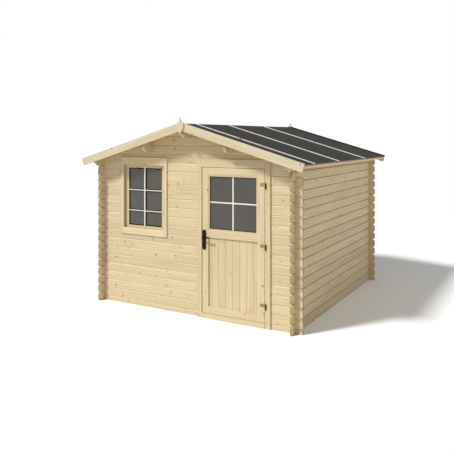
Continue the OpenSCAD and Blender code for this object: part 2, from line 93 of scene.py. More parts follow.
def new_material(name):
    """An empty node material and its tree."""
    material = bpy.data.materials.new(name)
    material.use_nodes = True
    tree = material.node_tree
    tree.nodes.clear()
    return material, tree


def finish_surface(tree, links):
    """Ends a material in one solid surface with these inputs."""
    surface = add(tree, "ShaderNodeBsdfPrincipled", links)
    add(tree, "ShaderNodeOutputMaterial", {"Surface": surface.outputs[0]})


# ---- Planed spruce ----

AXES = {"x": 0, "y": 1, "z": 2}


def planed_spruce(name, grain, across, board=10.0, first=0.0, turn=0.0,
                  light="#EBD9B4", dark="#D3B884", knots=0.3, lone=True,
                  seam_and_shade_colour="#3B2B1B", seam_w=1.8, arris=0.0, vee=None):
    """Planed, untreated spruce: pale straw with long darker streaks of latewood and small
    brown knots. grain is the axis the fibres run along, across the one over the board's face.
    Boards that cover the width board, from first upwards, differ in tint. turn slopes the
    fibres, light and dark are the earlywood's and the latewood's colours, knots is the share
    of places that have one. Pieces that are lone each get their own grain; the others show
    the same board running on. seam_w is the width in mm of the open line between two boards,
    arris how deep in mm their edges round, vee the colour of the faces of the V between them,
    a painted highlight on those faces where it is paler than the wood."""
    material, tree = new_material(name)
    depth = ({"x", "y", "z"} - {grain, across}).pop()
    place = add(tree, "ShaderNodeTexCoord")
    lie = add(tree, "ShaderNodeVectorRotate",
              {"Vector": place.outputs["Object"], "Angle": turn}, rotation_type="Y_AXIS")
    facing = add(tree, "ShaderNodeVectorRotate",
                 {"Vector": place.outputs["Normal"], "Angle": turn}, rotation_type="Y_AXIS")
    part = add(tree, "ShaderNodeSeparateXYZ", {0: lie.outputs[0]})
    side = add(tree, "ShaderNodeSeparateXYZ", {0: facing.outputs[0]})
    along, over, into = (part.outputs[AXES[a]] for a in (grain, across, depth))

    # One random number for each board of each piece
    row = add(tree, "ShaderNodeMath", {0: over, 1: first}, operation="SUBTRACT")
    row = add(tree, "ShaderNodeMath", {0: row.outputs[0], 1: board}, operation="DIVIDE")
    row = add(tree, "ShaderNodeMath", {0: row.outputs[0]}, operation="FLOOR")
    which = add(tree, "ShaderNodeObjectInfo")
    same_piece = 0.37  # any fixed number, so that one board looks the same on each piece
    pick = add(tree, "ShaderNodeCombineXYZ",
               {0: row.outputs[0], 1: which.outputs["Random"] if lone else same_piece})
    chance = add(tree, "ShaderNodeTexWhiteNoise",
                 {"Vector": pick.outputs[0]}, noise_dimensions="3D")
    # Each board is cut from another part of the log, metres away
    start = add(tree, "ShaderNodeVectorMath",
                {0: chance.outputs["Color"], 1: (37.0, 19.0, 11.0)}, operation="MULTIPLY")
    fibre = add(tree, "ShaderNodeCombineXYZ", {0: along, 1: over, 2: into})
    fibre = add(tree, "ShaderNodeVectorMath",
                {0: fibre.outputs[0], 1: start.outputs[0]}, operation="ADD")

    # Knots: at most one in each cell of about 150 mm, up to 23 mm across, with fibres that
    # darken for 25 mm round them. One of less than 4 mm across is left out.
    flat = add(tree, "ShaderNodeVectorMath",
               {0: fibre.outputs[0], 1: (1.0, 1.0, 0.0)}, operation="MULTIPLY")
    knot_cell = add(tree, "ShaderNodeTexVoronoi",
                    {"Vector": flat.outputs[0], "Scale": 6.5}, voronoi_dimensions="2D")
    knot_size = add(tree, "ShaderNodeSeparateColor", {0: knot_cell.outputs["Color"]})
    radius = add(tree, "ShaderNodeMapRange",
                 {0: knot_size.outputs[0], 1: 1.0 - knots, 2: 1.0, 3: 0.0, 4: 0.075})
    edge = add(tree, "ShaderNodeMath",
               {0: radius.outputs[0], 1: knot_cell.outputs["Distance"]}, operation="SUBTRACT")
    knot = add(tree, "ShaderNodeMapRange", {0: edge.outputs[0], 1: 0.0, 2: 0.02, 3: 0.0, 4: 1.0})
    halo = add(tree, "ShaderNodeMapRange", {0: edge.outputs[0], 1: -0.16, 2: 0.0, 3: 0.0, 4: 1.0})
    has_knot = add(tree, "ShaderNodeMath",
                   {0: radius.outputs[0], 1: 0.012}, operation="GREATER_THAN")
    knot = add(tree, "ShaderNodeMath",
               {0: knot.outputs[0], 1: has_knot.outputs[0]}, operation="MULTIPLY")
    halo = add(tree, "ShaderNodeMath",
               {0: halo.outputs[0], 1: has_knot.outputs[0]}, operation="MULTIPLY")

    # Growth rings, cut lengthwise: streaks 8 mm apart and about half a metre long, drawn
    # coarser than the real 2 to 4 mm so that they show. They bow round each knot.
    bow = add(tree, "ShaderNodeMath", {0: halo.outputs[0], 1: 0.010}, operation="MULTIPLY")
    bow = add(tree, "ShaderNodeCombineXYZ", {1: bow.outputs[0]})
    bowed = add(tree, "ShaderNodeVectorMath",
                {0: fibre.outputs[0], 1: bow.outputs[0]}, operation="ADD")
    rings = add(tree, "ShaderNodeVectorMath",
                {0: bowed.outputs[0], 1: (1.9, 120.0, 60.0)}, operation="MULTIPLY")
    streak = add(tree, "ShaderNodeTexNoise",
                 {"Vector": rings.outputs[0], "Scale": 1.0, "Detail": 3.0, "Roughness": 0.6})
    # Fibres: 1 to 2 mm apart
    threads = add(tree, "ShaderNodeVectorMath",
                  {0: bowed.outputs[0], 1: (14.0, 700.0, 700.0)}, operation="MULTIPLY")
    thread = add(tree, "ShaderNodeTexNoise",
                 {"Vector": threads.outputs[0], "Scale": 1.0, "Detail": 2.0})
    # Broad clouds of heartwood and sapwood, 110 mm wide and over a metre long
    clouds = add(tree, "ShaderNodeVectorMath",
                 {0: fibre.outputs[0], 1: (0.9, 9.0, 9.0)}, operation="MULTIPLY")
    cloud = add(tree, "ShaderNodeTexNoise",
                {"Vector": clouds.outputs[0], "Scale": 1.0, "Detail": 1.0})

    grainy = add(tree, "ShaderNodeMapRange",
                 {0: streak.outputs["Fac"], 1: 0.40, 2: 0.72, 3: 0.0, 4: 0.75})
    colour = add(tree, "ShaderNodeMix",
                 {"Factor": grainy.outputs[0], "A": linear(light), "B": linear(dark)},
                 data_type="RGBA")
    shade = add(tree, "ShaderNodeMapRange",
                {0: thread.outputs["Fac"], 1: 0.3, 2: 0.7, 3: 0.95, 4: 1.04})
    tint = add(tree, "ShaderNodeMapRange",
               {0: chance.outputs["Value"], 1: 0.0, 2: 1.0, 3: 0.95, 4: 1.04})
    patch = add(tree, "ShaderNodeMapRange",
                {0: cloud.outputs["Fac"], 1: 0.3, 2: 0.7, 3: 0.835, 4: 0.925})
    value = add(tree, "ShaderNodeMath",
                {0: shade.outputs[0], 1: tint.outputs[0]}, operation="MULTIPLY")
    value = add(tree, "ShaderNodeMath",
                {0: value.outputs[0], 1: patch.outputs[0]}, operation="MULTIPLY")
    colour = add(tree, "ShaderNodeHueSaturation",
                 {"Color": colour.outputs["Result"], "Value": value.outputs[0]})
    warm = add(tree, "ShaderNodeMath", {0: halo.outputs[0], 1: 0.45}, operation="MULTIPLY")
    colour = add(tree, "ShaderNodeMix",
                 {"Factor": warm.outputs[0], "A": colour.outputs[0], "B": linear("#CDB07E")},
                 data_type="RGBA")
    colour = add(tree, "ShaderNodeMix",
                 {"Factor": knot.outputs[0], "A": colour.outputs["Result"],
                  "B": linear("#8A6A45")}, data_type="RGBA")

    # Joint: the V's faces, 4 to 6 mm wide, in their own colour, a painted highlight on the walls,
    # and the thin open line at its bottom
    base_normal = {}
    if board < 1.0:
        joint = add(tree, "ShaderNodeMath", {0: over, 1: first}, operation="SUBTRACT")
        joint = add(tree, "ShaderNodeMath",
                    {0: joint.outputs[0], 1: board / 2}, operation="PINGPONG")
        if vee:
            painted_vee_faces = add(tree, "ShaderNodeMapRange",
                         {0: joint.outputs[0], 1: 4 * MM, 2: 6 * MM, 3: 1.0, 4: 0.0})
            colour = add(tree, "ShaderNodeMix",
                         {"Factor": painted_vee_faces.outputs[0], "A": colour.outputs["Result"],
                          "B": linear(vee)}, data_type="RGBA")
        # The line is a dark joint; drawn wide and dark, as on the side walls, it also paints the
        # shade in the groove.
        seam = add(tree, "ShaderNodeMapRange",
                   {0: joint.outputs[0], 1: 0.4 * seam_w * MM, 2: seam_w * MM, 3: 1.0, 4: 0.0})
        colour = add(tree, "ShaderNodeMix",
                     {"Factor": seam.outputs[0], "A": colour.outputs["Result"],
                      "B": linear(seam_and_shade_colour)}, data_type="RGBA")
        # Planed arrises: each board's edges turn in over their last 10 mm
        edge_round = add(tree, "ShaderNodeMapRange",
                         {0: joint.outputs[0], 1: 0.0, 2: 10 * MM, 3: 0.0, 4: arris * MM})
        turned = add(tree, "ShaderNodeBump",
                     {"Strength": 1.0, "Distance": 1.0, "Height": edge_round.outputs[0]})
        base_normal = {"Normal": turned.outputs[0]}

    # End grain, darker than the faces: rings 6 mm apart round a pith 20 to 70 mm outside the
    # board, drawn wider than the real 2 to 4 mm so that they show
    end = add(tree, "ShaderNodeMath", {0: side.outputs[AXES[grain]]}, operation="ABSOLUTE")
    end = add(tree, "ShaderNodeMapRange", {0: end.outputs[0], 1: 0.72, 2: 0.8, 3: 0.0, 4: 1.0})
    pith = add(tree, "ShaderNodeMapRange",
               {0: chance.outputs["Value"], 1: 0.0, 2: 1.0, 3: 0.02, 4: 0.07})
    pith = add(tree, "ShaderNodeMath", {0: into, 1: pith.outputs[0]}, operation="ADD")
    disc = add(tree, "ShaderNodeCombineXYZ", {0: over, 1: pith.outputs[0]})
    ring = add(tree, "ShaderNodeTexWave",
               {"Vector": disc.outputs[0], "Scale": 55.0, "Distortion": 1.5, "Detail": 1.0},
               wave_type="RINGS", rings_direction="Z")
    end_colour = add(tree, "ShaderNodeMix",
                     {"Factor": ring.outputs["Fac"], "A": linear("#BFA578"),
                      "B": linear("#A38657")}, data_type="RGBA")
    colour = add(tree, "ShaderNodeMix",
                 {"Factor": end.outputs[0], "A": colour.outputs["Result"],
                  "B": end_colour.outputs["Result"]}, data_type="RGBA")

    relief = add(tree, "ShaderNodeMath",
                 {0: streak.outputs["Fac"], 1: thread.outputs["Fac"]}, operation="ADD")
    bump = add(tree, "ShaderNodeBump",
               {"Strength": 0.25, "Distance": 0.6 * MM, "Height": relief.outputs[0], **base_normal})
    rough = add(tree, "ShaderNodeMapRange",
                {0: streak.outputs["Fac"], 1: 0.3, 2: 0.7, 3: 0.62, 4: 0.74})
    finish_surface(tree, {"Base Color": colour.outputs["Result"], "Roughness": rough.outputs[0],
                          "IOR": 1.5, "Specular IOR Level": 0.25, "Normal": bump.outputs[0]})
    return material


# Boards of the front, gable and back walls show a painted highlight on the faces of their V
# joints, with a thin line; the side walls' joints lie in shade, and their line is drawn wider
# and darker as painted shade. Bargeboards and the window's casing are paler, with a finer planing.
cross_joint = {"board": WALL_BOARD, "first": WALL_BOARD / 2, "knots": 0.62, "lone": False,
               "seam_and_shade_colour": "#6E5638", "seam_w": 1.1, "arris": 0.4, "vee": "#F0E0BC"}
barge_tones = {"light": "#EADBBA", "dark": "#D6C094", "knots": 0.35}
casing_tones = {"light": "#F5E3BD", "dark": "#DDC28B", "knots": 0.2}

front_boards = planed_spruce("Planed spruce, front and back wall boards", "x", "z", **cross_joint)
# The gable lies in the roof's shade; its warmer tint paints the warm light that the wood throws
# back there.
gable_boards_warm_shade = planed_spruce("Planed spruce, front gable boards", "x", "z",
                             light="#EAD6AC", dark="#D2B67E", **cross_joint)
# The side walls lie in shade: their joint line, wider and darker than the front's, is partly
# painted shade.
side_boards = planed_spruce("Planed spruce, side wall boards", "y", "z", WALL_BOARD, 0.0,
                            knots=0.58, lone=False, seam_and_shade_colour="#2A1D12", seam_w=2.6, arris=0.6)
cross_spruce = planed_spruce("Planed spruce, rails and sills", "x", "z", knots=0.2)
upright_spruce = planed_spruce("Planed spruce, stiles and posts", "z", "x", knots=0.2)
long_spruce = planed_spruce("Planed spruce, purlins", "y", "z")
door_spruce = planed_spruce("Planed spruce, door boards", "z", "x", DOOR_BOARD, FIRST_DOOR_BOARD,
                            seam_and_shade_colour="#6E5638", seam_w=1.1, vee="#DCCAA0")
barge_left = planed_spruce("Planed spruce, left bargeboards", "x", "z",
                           turn=ROOF_PITCH, **barge_tones)
barge_right = planed_spruce("Planed spruce, right bargeboards", "x", "z",
                            turn=-ROOF_PITCH, **barge_tones)
# The eave strips lie in shade; their paler tones paint extra light onto them.
eave_spruce_painted_light = planed_spruce("Planed spruce, eave strips", "y", "z",
                            light="#F8E9C4", dark="#DFC690", knots=0.0)
casing_upright = planed_spruce("Planed spruce, window casing sides", "z", "x", **casing_tones)
casing_cross = planed_spruce("Planed spruce, window casing rails", "x", "z", **casing_tones)
finial_spruce = planed_spruce("Planed spruce, finials", "z", "x",
                              light="#EFE0C2", dark="#DBC59B", knots=0.0)
# The window's reveals face away from the key lamp; their darker tones paint the shade in the
# recess.
reveal_spruce_painted_shade = planed_spruce("Planed spruce, window reveals", "z", "y",
                              light="#C4AD80", dark="#A78F62", knots=0.0)
roof_left = planed_spruce("Planed spruce, left roof boards", "x", "y", ROOF_BOARD, ROOF_FRONT,
                          turn=ROOF_PITCH)
roof_right = planed_spruce("Planed spruce, right roof boards", "x", "y", ROOF_BOARD, ROOF_FRONT,
                           turn=-ROOF_PITCH)
batten_spruce = planed_spruce("Sawn spruce, felt battens", "x", "y",
                              light="#FFFCF2", dark="#F3EAD6", knots=0.1)
bar_spruce = planed_spruce("Planed spruce, glazing bars", "z", "x",
                           light="#FFFBEE", dark="#F6EDD6", knots=0.0)


# ---- Felt, glass and metal ----

def mineral_felt():
    """Bitumen roofing felt: near black, with a fine grey mineral grit and slight mottling."""
    material, tree = new_material("Bitumen felt with mineral grit")
    place = add(tree, "ShaderNodeTexCoord")
    # Grit of about 1 mm, drawn at 5 mm so that it shows, and mottling 250 mm wide
    grit = add(tree, "ShaderNodeTexNoise",
               {"Vector": place.outputs["Object"], "Scale": 210.0, "Detail": 3.0, "Roughness": 0.8})
    mottle = add(tree, "ShaderNodeTexNoise",
                 {"Vector": place.outputs["Object"], "Scale": 4.0, "Detail": 3.0, "Roughness": 0.6})
    base = add(tree, "ShaderNodeMix", {"Factor": mottle.outputs["Fac"], "A": linear("#1F1D1C"),
                                       "B": linear("#2E2C2A")}, data_type="RGBA")
    fleck = add(tree, "ShaderNodeMapRange",
                {0: grit.outputs["Fac"], 1: 0.5, 2: 0.75, 3: 0.0, 4: 0.4})
    colour = add(tree, "ShaderNodeMix", {"Factor": fleck.outputs[0], "A": base.outputs["Result"],
                                         "B": linear("#4E4B48")}, data_type="RGBA")
    bump = add(tree, "ShaderNodeBump",
               {"Strength": 0.5, "Distance": 1.0 * MM, "Height": grit.outputs["Fac"]})
    finish_surface(tree, {"Base Color": colour.outputs["Result"], "Roughness": 0.92, "IOR": 1.5,
                          "Specular IOR Level": 0.2, "Normal": bump.outputs[0]})
    return material


def float_glass():
    """Thin clear float glass with a faint grey film, over the dark inside of the shed."""
    material, tree = new_material("Float glass, lightly filmed")
    place = add(tree, "ShaderNodeTexCoord")
    # The film varies over about 330 mm
    film = add(tree, "ShaderNodeTexNoise",
               {"Vector": place.outputs["Object"], "Scale": 3.0, "Detail": 2.0})
    haze = add(tree, "ShaderNodeMapRange",
               {0: film.outputs["Fac"], 1: 0.3, 2: 0.7, 3: 0.30, 4: 0.36})
    clear = add(tree, "ShaderNodeBsdfTransparent", {"Color": linear("#B9B8B4")})
    gloss = add(tree, "ShaderNodeBsdfGlossy", {"Color": linear("#FFFFFF"), "Roughness": 0.02})
    grey = add(tree, "ShaderNodeBsdfDiffuse", {"Color": linear("#827A72")})
    angle = add(tree, "ShaderNodeFresnel", {"IOR": 1.5})
    body = add(tree, "ShaderNodeMixShader",
               {0: haze.outputs[0], 1: clear.outputs[0], 2: grey.outputs[0]})
    pane = add(tree, "ShaderNodeMixShader",
               {0: angle.outputs[0], 1: body.outputs[0], 2: gloss.outputs[0]})
    add(tree, "ShaderNodeOutputMaterial", {"Surface": pane.outputs[0]})
    return material


def yellow_zinc(barrel_x):
    """Pressed steel, yellow zinc plated: a greenish brass colour with faint blotches. Beyond
    barrel_x lies the hinge's barrel, coloured dark brown."""
    material, tree = new_material("Steel, yellow zinc plated")
    place = add(tree, "ShaderNodeTexCoord")
    # Blotches of the plating, 22 mm across
    blotch = add(tree, "ShaderNodeTexNoise",
                 {"Vector": place.outputs["Object"], "Scale": 45.0, "Detail": 3.0})
    colour = add(tree, "ShaderNodeMix", {"Factor": blotch.outputs["Fac"], "A": linear("#978A38"),
                                         "B": linear("#B9AA55")}, data_type="RGBA")
    across = add(tree, "ShaderNodeSeparateXYZ", {0: place.outputs["Object"]})
    barrel = add(tree, "ShaderNodeMapRange",
                 {0: across.outputs[0], 1: barrel_x - 0.5 * MM, 2: barrel_x + 0.5 * MM,
                  3: 0.0, 4: 1.0})
    colour = add(tree, "ShaderNodeMix", {"Factor": barrel.outputs[0], "A": colour.outputs["Result"],
                                         "B": linear("#54451C")}, data_type="RGBA")
    rough = add(tree, "ShaderNodeMapRange",
                {0: blotch.outputs["Fac"], 1: 0.3, 2: 0.7, 3: 0.34, 4: 0.48})
    finish_surface(tree, {"Base Color": colour.outputs["Result"], "Metallic": 0.85,
                          "Roughness": rough.outputs[0]})
    return material


def black_lacquer():
    """Die-cast handle set under a satin black-brown lacquer."""
    material, tree = new_material("Die-cast metal, satin black lacquer")
    place = add(tree, "ShaderNodeTexCoord")
    # Orange peel of about 1 mm, drawn at 4 mm so that it shows
    peel = add(tree, "ShaderNodeTexNoise",
               {"Vector": place.outputs["Object"], "Scale": 260.0, "Detail": 2.0})
    colour = add(tree, "ShaderNodeMix", {"Factor": peel.outputs["Fac"], "A": linear("#0C0907"),
                                         "B": linear("#1A130D")}, data_type="RGBA")
    bump = add(tree, "ShaderNodeBump",
               {"Strength": 0.15, "Distance": 0.2 * MM, "Height": peel.outputs["Fac"]})
    finish_surface(tree, {"Base Color": colour.outputs["Result"], "Roughness": 0.45, "IOR": 1.5,
                          "Specular IOR Level": 0.15, "Normal": bump.outputs[0]})
    return material


def dark_brown_screw():
    """Screw heads in the hinge plates and bargeboards: plated steel, dark brown."""
    material, tree = new_material("Steel, browned")
    place = add(tree, "ShaderNodeTexCoord")
    # Lighter and darker spots, 2 mm across
    spots = add(tree, "ShaderNodeTexNoise", {"Vector": place.outputs["Object"], "Scale": 500.0})
    colour = add(tree, "ShaderNodeMix", {"Factor": spots.outputs["Fac"], "A": linear("#38290F"),
                                         "B": linear("#524019")}, data_type="RGBA")
    finish_surface(tree, {"Base Color": colour.outputs["Result"], "Metallic": 0.3,
                          "Roughness": 0.7})
    return material


def glazing_tape_and_shade():
    """Black foam strips between the panes and the bars: matt, with a fine cell structure.
    Laid wider than the bars and round the panes' edges, they also paint the shade there.
    """
    material, tree = new_material("Black glazing tape")
    place = add(tree, "ShaderNodeTexCoord")
    # Cells of the foam, 1 mm across
    cells = add(tree, "ShaderNodeTexNoise", {"Vector": place.outputs["Object"], "Scale": 900.0})
    colour = add(tree, "ShaderNodeMix", {"Factor": cells.outputs["Fac"], "A": linear("#0B0A09"),
                                         "B": linear("#141210")}, data_type="RGBA")
    finish_surface(tree, {"Base Color": colour.outputs["Result"], "Roughness": 0.95, "IOR": 1.5,
                          "Specular IOR Level": 0.1})
    return material


def bright_steel():
    """Zinc plated nail heads in the laths: light grey metal, a little dull."""
    material, tree = new_material("Steel, bright zinc plated")
    place = add(tree, "ShaderNodeTexCoord")
    # Dull spots, 2.5 mm across
    dull = add(tree, "ShaderNodeTexNoise", {"Vector": place.outputs["Object"], "Scale": 400.0})
    colour = add(tree, "ShaderNodeMix", {"Factor": dull.outputs["Fac"], "A": linear("#9C9C98"),
                                         "B": linear("#C4C4C0")}, data_type="RGBA")
    finish_surface(tree, {"Base Color": colour.outputs["Result"], "Metallic": 1.0,
                          "Roughness": 0.38})
    return material


felt = mineral_felt()
glass = float_glass()
zinc = yellow_zinc(BARREL_X)
lacquer = black_lacquer()
steel = bright_steel()
browned = dark_brown_screw()
tape_and_shade = glazing_tape_and_shade()

FINISHES = {
    front_boards: ["front_wall_left", "front_wall_under_window", "front_wall_middle",
                   "front_wall_right", "back_wall"],
    gable_boards_warm_shade: ["front_gable"],
    side_boards: ["left_wall", "right_wall", "left_top_board", "right_top_board"],
    long_spruce: ["ridge_purlin", "left_purlin", "right_purlin"],
    eave_spruce_painted_light: ["eave_strips"],
    barge_left: ["front_bargeboard_left", "back_bargeboard_left"],
    barge_right: ["front_bargeboard_right", "back_bargeboard_right"],
    roof_left: ["roof_deck_left"],
    roof_right: ["roof_deck_right"],
    finial_spruce: ["front_finial", "back_finial"],
    reveal_spruce_painted_shade: ["window_jambs"],
    casing_upright: ["window_casing_sides"],
    casing_cross: ["window_casing_rails"],
    upright_spruce: ["sash_stiles", "door_jamb_left", "door_jamb_right", "door_casing_sides",
                     "door_stiles", "door_glass_bead"],
    cross_spruce: ["window_head_and_sill", "sash_rails", "door_head", "door_sill",
                   "door_head_trim", "door_rails"],
    door_spruce: ["door_boards"],
    batten_spruce: ["roof_battens"],
    felt: ["roof_felt_left", "roof_felt_right"],
    glass: ["window_glass", "door_glass"],
    zinc: ["hinge_seats", "hinge_plates"],
    lacquer: ["handle_plates", "door_handle"],
}
for material, names in FINISHES.items():
    for name in names:
        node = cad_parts[name]
        for slot in node.material_slots:
            slot.material = material


# ---- Mesh pieces ----

def piece(name, mesh_builder, material, body):
    """Makes one mesh object with a material, riding on a body."""
    mesh = bpy.data.meshes.new(name)
    bm = bmesh.new()
    mesh_builder(bm)
    bmesh.ops.recalc_face_normals(bm, faces=bm.faces)
    bm.to_mesh(mesh)
    bm.free()
    thing = bpy.data.objects.new(name, mesh)
    bpy.context.scene.collection.objects.link(thing)
    mesh.materials.append(material)
    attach(thing, body)
    return thing


def prism(bm, outline, low, high, place):
    """Closes an outline of 2-D points into a prism; place maps (a, b, t) to a point."""
    rings = [[bm.verts.new(place(a, b, t)) for a, b in outline] for t in (low, high)]
    bm.faces.new(rings[0])
    bm.faces.new(rings[1][::-1])
    for i in range(len(outline)):
        j = (i + 1) % len(outline)
        bm.faces.new([rings[0][i], rings[0][j], rings[1][j], rings[1][i]])


def mid(low, high, share=0.5):
    """The value at that share of the way from low to high."""
    return low + (high - low) * share


# ---- Glazing bars: moulded bars outside and inside the glass ----

# Shares of a bar: half the width of its flat face, and the height where its chamfer starts
FLAT, SHOULDER = 0.36, 0.6


def bar_grid(bm, node, upright, cross, shares, face, out, past=0.0):
    """An upright bar and its cross bars on a pane, upright and cross wide, with the cross bars
    at those shares of the height. They stand from the plane y = face outwards by out, and run
    past the pane's edges by past."""
    low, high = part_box(node)
    middle_x = mid(low.x, high.x)

    def outline(width):
        side, shoulder, top = width / 2, face + SHOULDER * out, face + out
        return [(-side, face), (-side, shoulder), (-FLAT * width, top),
                (FLAT * width, top), (side, shoulder), (side, face)]

    prism(bm, outline(upright), low.z - past, high.z + past,
          lambda a, b, t: (middle_x + a, b, t))
    for share in shares:
        level = mid(low.z, high.z, share)
        for x0, x1 in ((low.x - past, middle_x - FLAT * upright),
                       (middle_x + FLAT * upright, high.x + past)):
            prism(bm, outline(cross), x0, x1, lambda a, b, t, level=level: (t, b, level + a))


def edge_seal_and_shade(bm, node, width, y0, y1):
    """A frame of glazing strip round the edge of a pane, from y0 to y1, which also paints the
    shade along that edge.
    """
    low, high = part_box(node)
    inner_x0, inner_x1 = low.x + width, high.x - width
    for x0, x1, z0, z1 in ((low.x, inner_x0, low.z, high.z), (inner_x1, high.x, low.z, high.z),
                           (inner_x0, inner_x1, low.z, low.z + width),
                           (inner_x0, inner_x1, high.z - width, high.z)):
        prism(bm, [(x0, z0), (x1, z0), (x1, z1), (x0, z1)], y0, y1, lambda a, b, t: (a, t, b))


def window_bars():
    """The window's grid lies on the face of its sash, on black spacer strips that stand on the
    glass. Another grid is on the inside of the glass. The strips are wider than the bars and a
    band of them runs round the pane, so that their black also paints the shade there."""
    low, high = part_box("window_glass")
    sash_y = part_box("sash_stiles")[0].y
    shares = (0.262, 0.618)
    upright, cross, out, past = 19 * MM, 13 * MM, 9 * MM, 22 * MM
    # Spacer strips wider than the bars and a 13 mm band round the pane: painted shade as well as
    # black strips.
    spacer_and_shade_upright, spacer_and_shade_cross = 27 * MM, 25 * MM
    seal_and_shade_w, seal_out = 13 * MM, 4 * MM

    def bars(bm):
        bar_grid(bm, "window_glass", upright, cross, shares, sash_y, -out, past)
        bar_grid(bm, "window_glass", upright, cross, shares, high.y, out)

    def spacers_and_shade(bm):
        bar_grid(bm, "window_glass", spacer_and_shade_upright, spacer_and_shade_cross, shares,
                 low.y, sash_y - low.y)
        edge_seal_and_shade(bm, "window_glass", seal_and_shade_w, low.y - seal_out, low.y)

    piece("window_glazing_bars", bars, bar_spruce, "shed")
    piece("window_bar_spacers", spacers_and_shade, tape_and_shade, "shed")


def door_bars():
    """Flat bars and a black seal on both faces of the door's glass. The seal runs round the
    glass's edges and also paints the bead's shadow there.
    """
    low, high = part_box("door_glass")
    upright, cross, out, shares = 17 * MM, 16 * MM, 5 * MM, (0.506,)
    seal_and_shade_w, seal_out = 6 * MM, 2 * MM

    def bars(bm):
        bar_grid(bm, "door_glass", upright, cross, shares, low.y, -out)
        bar_grid(bm, "door_glass", upright, cross, shares, high.y, out)

    def seals_and_shadow(bm):
        edge_seal_and_shade(bm, "door_glass", seal_and_shade_w, low.y - seal_out, low.y)
        edge_seal_and_shade(bm, "door_glass", seal_and_shade_w, high.y, high.y + seal_out)

    piece("door_glazing_bars", bars, bar_spruce, "door")
    piece("door_glass_seals", seals_and_shadow, tape_and_shade, "door")


window_bars()
door_bars()


# ---- Roof: boards, laths and the felt's fold ----

def slope_place(side):
    """Maps (y, height square to the slope, distance down the slope) to a point of the roof.
    The height starts at the boards' underside. Also gives the slope's length."""
    low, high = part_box("roof_deck_right")
    ridge_z = high.z - DECK / math.cos(ROOF_PITCH)
    length = (ridge_z - low.z) / math.sin(ROOF_PITCH)

    def place(y, b, s):
        return (side * (s * math.cos(ROOF_PITCH) + b * math.sin(ROOF_PITCH)), y,
                ridge_z - s * math.sin(ROOF_PITCH) + b * math.cos(ROOF_PITCH))

    return place, length


def roof_boards(side_name, side, material):
    """Tongued boards from ridge to eave, with V joints on the underside and a plumb cut at
    the ridge. They replace the plain deck."""
    low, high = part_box("roof_deck_" + side_name)
    slope, length = slope_place(side)
    vee = 4 * MM

    def plumb_cut(y, b, t):
        # t is 0 at the ridge and 1 at the eave
        ridge = -b * math.tan(ROOF_PITCH)
        return slope(y, b, ridge + t * (length - ridge))

    def build(bm):
        y = low.y
        while high.y - y > MM:
            end = min(y + ROOF_BOARD, high.y)
            prism(bm, [(y, DECK), (end, DECK), (end, vee), (end - vee, 0), (y + vee, 0), (y, vee)],
                  0, 1, plumb_cut)
            y = end

    boards = piece("roof_boards_" + side_name, build, material, "shed")
    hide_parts("roof_deck_" + side_name)


def felt_laths():
    """Thin white laths nailed down over the felt, with softened edges, which end short of the
    ridge. Gives the middle of each lath and the height of their tops."""
    edges = sorted({round(v.co.y, 4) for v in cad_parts["roof_battens"].data.vertices})
    backs = edges[1::2]
    wide, thick, soft, ridge_gap = 19 * MM, 9 * MM, 1.5 * MM, 28 * MM
    foot = DECK + FELT
    top = foot + thick

    def build(bm):
        for side in (-1, 1):
            place, length = slope_place(side)
            for y1 in backs:
                y0 = y1 - wide
                outline = [(y0, foot), (y1, foot), (y1, top - soft), (y1 - soft, top),
                           (y0 + soft, top), (y0, top - soft)]
                prism(bm, outline, ridge_gap, length, place)

    laths = piece("felt_laths", build, batten_spruce, "shed")
    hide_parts("roof_battens")
    return [y - wide / 2 for y in backs], top


def felt_fold():
    """The felt turns up and over the top edge of the back bargeboards."""
    low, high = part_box("back_bargeboard_right")
    foot = DECK + FELT
    upstand, ridge_gap, thick = 13 * MM, 6 * MM, 2 * MM
    top, y0, y1 = foot + upstand, low.y, high.y

    def build(bm):
        outline = [(y0 - thick, foot), (y0, foot), (y0, top), (y1, top), (y1, top + thick),
                   (y0 - thick, top + thick)]
        for side in (-1, 1):
            place, length = slope_place(side)
            prism(bm, outline, ridge_gap, length - thick, place)

    piece("felt_fold_back", build, felt, "shed")


roof_boards("left", -1, roof_left)
roof_boards("right", 1, roof_right)
lath_ys, lath_top = felt_laths()
felt_fold()


# ---- Fixings ----

def screw_heads(name, places, radius, normal, material, body):
    """Round heads with a recess, as low domes on a face; places are their centres."""
    facing = Vector(normal).to_track_quat("Z", "Y").to_matrix().to_4x4()
    sides = 12
    profile = ((1.0, 0.0), (0.92, 0.22), (0.6, 0.42), (0.3, 0.48))
    pit_rise = 0.12

    def build(bm):
        for centre in places:
            at = Matrix.Translation(Vector(centre)) @ facing
            rings = []
            for share, rise in profile:
                rings.append([bm.verts.new(at @ Vector((
                    radius * share * math.cos(2 * math.pi * i / sides),
                    radius * share * math.sin(2 * math.pi * i / sides),
                    radius * rise))) for i in range(sides)])
            for lower, upper in zip(rings, rings[1:]):
                for i in range(sides):
                    j = (i + 1) % sides
                    bm.faces.new([lower[i], lower[j], upper[j], upper[i]])
            bm.faces.new(rings[0][::-1])
            pit = bm.verts.new(at @ Vector((0, 0, radius * pit_rise)))
            for i in range(sides):
                bm.faces.new([rings[-1][i], rings[-1][(i + 1) % sides], pit])

    return piece(name, build, material, body)


def hinge_screws():
    """Three screws in each hinge's plate on the door. tops are the plates' heights above the
    door's foot, offsets the screws' places from the plate's edge and middle, all in mm."""
    corner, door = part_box("hinge_plates")[0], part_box("door_stiles")[0]
    plate_h, plate_t, radius = 38 * MM, 2.5 * MM, 5 * MM
    tops = (221, 906, 1615)
    offsets = ((10, 0), (30, 10), (30, -10))
    middles = [door.z + top * MM - plate_h / 2 for top in tops]
    screw_heads("hinge_screws",
                [(corner.x + dx * MM, door.y - plate_t, z + dz * MM)
                 for z in middles for dx, dz in offsets],
                radius, (0, -1, 0), browned, "door")


